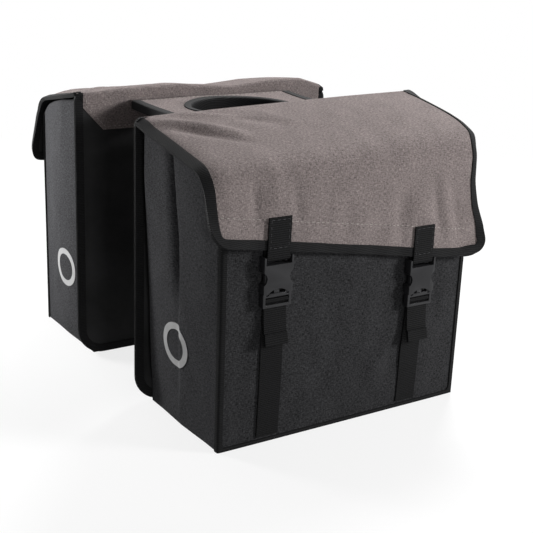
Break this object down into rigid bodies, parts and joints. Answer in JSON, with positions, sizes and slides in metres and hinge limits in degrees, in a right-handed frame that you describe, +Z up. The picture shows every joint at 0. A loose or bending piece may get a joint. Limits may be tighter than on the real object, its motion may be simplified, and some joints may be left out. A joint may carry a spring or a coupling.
{
  "type": "double pannier bag",
  "caption": "Double bicycle pannier: lidded canvas bags joined by a rack bridge with a hand hole, closed by webbing straps and side-release buckles.",
  "frame": {"origin": "on the ground, midway between the bags and at the middle of their length", "axes": "+X along the bicycle towards its front, +Y across it to its left, +Z up"},
  "size_m": [0.3978, 0.532, 0.3596],
  "materials": {
    "taupe_canvas": "heathered woven polyester canvas",
    "charcoal_canvas": "dark heathered woven canvas",
    "gusset_canvas": "grey heathered woven canvas",
    "coated_cloth": "black coated cloth, slightly glossy",
    "binding_tape": "ribbed black binding tape",
    "webbing": "black ribbed webbing",
    "buckle_plastic": "satin moulded acetal",
    "board": "pressed stiffening board",
    "reflective_film": "silver reflective film"
  },
  "bodies": {
    "bridge": {"bridge_cloth": "taupe_canvas", "bridge_lining": "coated_cloth", "bridge_bindings": "binding_tape", "hand_hole_rim": "binding_tape"},
    "right_bag": {"right_inner_panel": "coated_cloth", "right_inner_board": "board", "right_inner_binding": "binding_tape", "right_yoke": "taupe_canvas", "right_front_panel": "charcoal_canvas", "right_front_binding": "binding_tape", "right_rim_binding": "binding_tape", "right_base_panel": "charcoal_canvas", "right_base_board": "board", "right_rings": "reflective_film", "right_gusset_aft": "gusset_canvas", "right_lower_strap_aft": "webbing", "right_gusset_fore": "gusset_canvas", "right_lower_strap_fore": "webbing"},
    "right_lid": {"right_lid": "taupe_canvas", "right_lid_binding": "binding_tape", "right_lid_straps": "webbing", "right_sockets": "buckle_plastic"},
    "right_plug_aft": {"right_plug_aft": "buckle_plastic", "right_strap_loop_aft": "webbing"},
    "right_prong_aft_a": {"right_prong_aft_a": "buckle_plastic"},
    "right_prong_aft_b": {"right_prong_aft_b": "buckle_plastic"},
    "right_plug_fore": {"right_plug_fore": "buckle_plastic", "right_strap_loop_fore": "webbing"},
    "right_prong_fore_a": {"right_prong_fore_a": "buckle_plastic"},
    "right_prong_fore_b": {"right_prong_fore_b": "buckle_plastic"},
    "left_bag": {"left_inner_panel": "coated_cloth", "left_inner_board": "board", "left_inner_binding": "binding_tape", "left_yoke": "taupe_canvas", "left_front_panel": "charcoal_canvas", "left_front_binding": "binding_tape", "left_rim_binding": "binding_tape", "left_base_panel": "charcoal_canvas", "left_base_board": "board", "left_rings": "reflective_film", "left_gusset_aft": "gusset_canvas", "left_lower_strap_aft": "webbing", "left_gusset_fore": "gusset_canvas", "left_lower_strap_fore": "webbing"},
    "left_lid": {"left_lid": "taupe_canvas", "left_lid_binding": "binding_tape", "left_lid_straps": "webbing", "left_sockets": "buckle_plastic"},
    "left_plug_aft": {"left_plug_aft": "buckle_plastic", "left_strap_loop_aft": "webbing"},
    "left_prong_aft_a": {"left_prong_aft_a": "buckle_plastic"},
    "left_prong_aft_b": {"left_prong_aft_b": "buckle_plastic"},
    "left_plug_fore": {"left_plug_fore": "buckle_plastic", "left_strap_loop_fore": "webbing"},
    "left_prong_fore_a": {"left_prong_fore_a": "buckle_plastic"},
    "left_prong_fore_b": {"left_prong_fore_b": "buckle_plastic"}
  },
  "joints": [
    {"name": "right_bag_swing", "type": "hinge", "parent": "bridge", "child": "right_bag", "pos_m": [0, -0.0816, 0.346], "axis": [-1, 0, 0], "range_deg": [-12, 20]},
    {"name": "right_lid_hinge", "type": "hinge", "parent": "right_bag", "child": "right_lid", "pos_m": [0, -0.086, 0.358], "axis": [-1, 0, 0], "range_deg": [0, 110]},
    {"name": "right_plug_aft_release", "type": "slide", "parent": "right_bag", "child": "right_plug_aft", "axis": [0, 0, -1], "range_m": [0, 0.03], "deforming": ["right_lower_strap_aft"]},
    {"name": "right_prong_aft_a_squeeze", "type": "hinge", "parent": "right_plug_aft", "child": "right_prong_aft_a", "pos_m": [-0.1242, -0.25831, 0.18542], "axis": [0, 1, 0], "range_deg": [0, 6], "stiffness_Nm_per_rad": 0.05},
    {"name": "right_prong_aft_b_squeeze", "type": "hinge", "parent": "right_plug_aft", "child": "right_prong_aft_b", "pos_m": [-0.0978, -0.25831, 0.18542], "axis": [0, -1, 0], "range_deg": [0, 6]},
    {"name": "right_plug_fore_release", "type": "slide", "parent": "right_bag", "child": "right_plug_fore", "axis": [0, 0, -1], "range_m": [0, 0.03], "deforming": ["right_lower_strap_fore"]},
    {"name": "right_prong_fore_a_squeeze", "type": "hinge", "parent": "right_plug_fore", "child": "right_prong_fore_a", "pos_m": [0.0818, -0.26104, 0.15421], "axis": [0, 1, 0], "range_deg": [0, 6], "stiffness_Nm_per_rad": 0.05},
    {"name": "right_prong_fore_b_squeeze", "type": "hinge", "parent": "right_plug_fore", "child": "right_prong_fore_b", "pos_m": [0.1082, -0.26104, 0.15421], "axis": [0, -1, 0], "range_deg": [0, 6]},
    {"name": "left_bag_swing", "type": "hinge", "parent": "bridge", "child": "left_bag", "pos_m": [0, 0.0816, 0.346], "axis": [1, 0, 0], "range_deg": [-12, 20]},
    {"name": "left_lid_hinge", "type": "hinge", "parent": "left_bag", "child": "left_lid", "pos_m": [0, 0.086, 0.358], "axis": [1, 0, 0], "range_deg": [0, 110]},
    {"name": "left_plug_aft_release", "type": "slide", "parent": "left_bag", "child": "left_plug_aft", "axis": [0, 0, -1], "range_m": [0, 0.03], "deforming": ["left_lower_strap_aft"]},
    {"name": "left_prong_aft_a_squeeze", "type": "hinge", "parent": "left_plug_aft", "child": "left_prong_aft_a", "pos_m": [-0.1242, 0.25831, 0.18542], "axis": [0, 1, 0], "range_deg": [0, 6], "stiffness_Nm_per_rad": 0.05},
    {"name": "left_prong_aft_b_squeeze", "type": "hinge", "parent": "left_plug_aft", "child": "left_prong_aft_b", "pos_m": [-0.0978, 0.25831, 0.18542], "axis": [0, -1, 0], "range_deg": [0, 6]},
    {"name": "left_plug_fore_release", "type": "slide", "parent": "left_bag", "child": "left_plug_fore", "axis": [0, 0, -1], "range_m": [0, 0.03], "deforming": ["left_lower_strap_fore"]},
    {"name": "left_prong_fore_a_squeeze", "type": "hinge", "parent": "left_plug_fore", "child": "left_prong_fore_a", "pos_m": [0.0818, 0.26104, 0.15421], "axis": [0, 1, 0], "range_deg": [0, 6], "stiffness_Nm_per_rad": 0.05},
    {"name": "left_prong_fore_b_squeeze", "type": "hinge", "parent": "left_plug_fore", "child": "left_prong_fore_b", "pos_m": [0.1082, 0.26104, 0.15421], "axis": [0, -1, 0], "range_deg": [0, 6]}
  ],
  "couplings": [
    {"joint": "right_prong_aft_b_squeeze", "follows": "right_prong_aft_a_squeeze", "ratio": 1},
    {"joint": "right_prong_fore_b_squeeze", "follows": "right_prong_fore_a_squeeze", "ratio": 1},
    {"joint": "left_prong_aft_b_squeeze", "follows": "left_prong_aft_a_squeeze", "ratio": 1},
    {"joint": "left_prong_fore_b_squeeze", "follows": "left_prong_fore_a_squeeze", "ratio": 1}
  ]
}
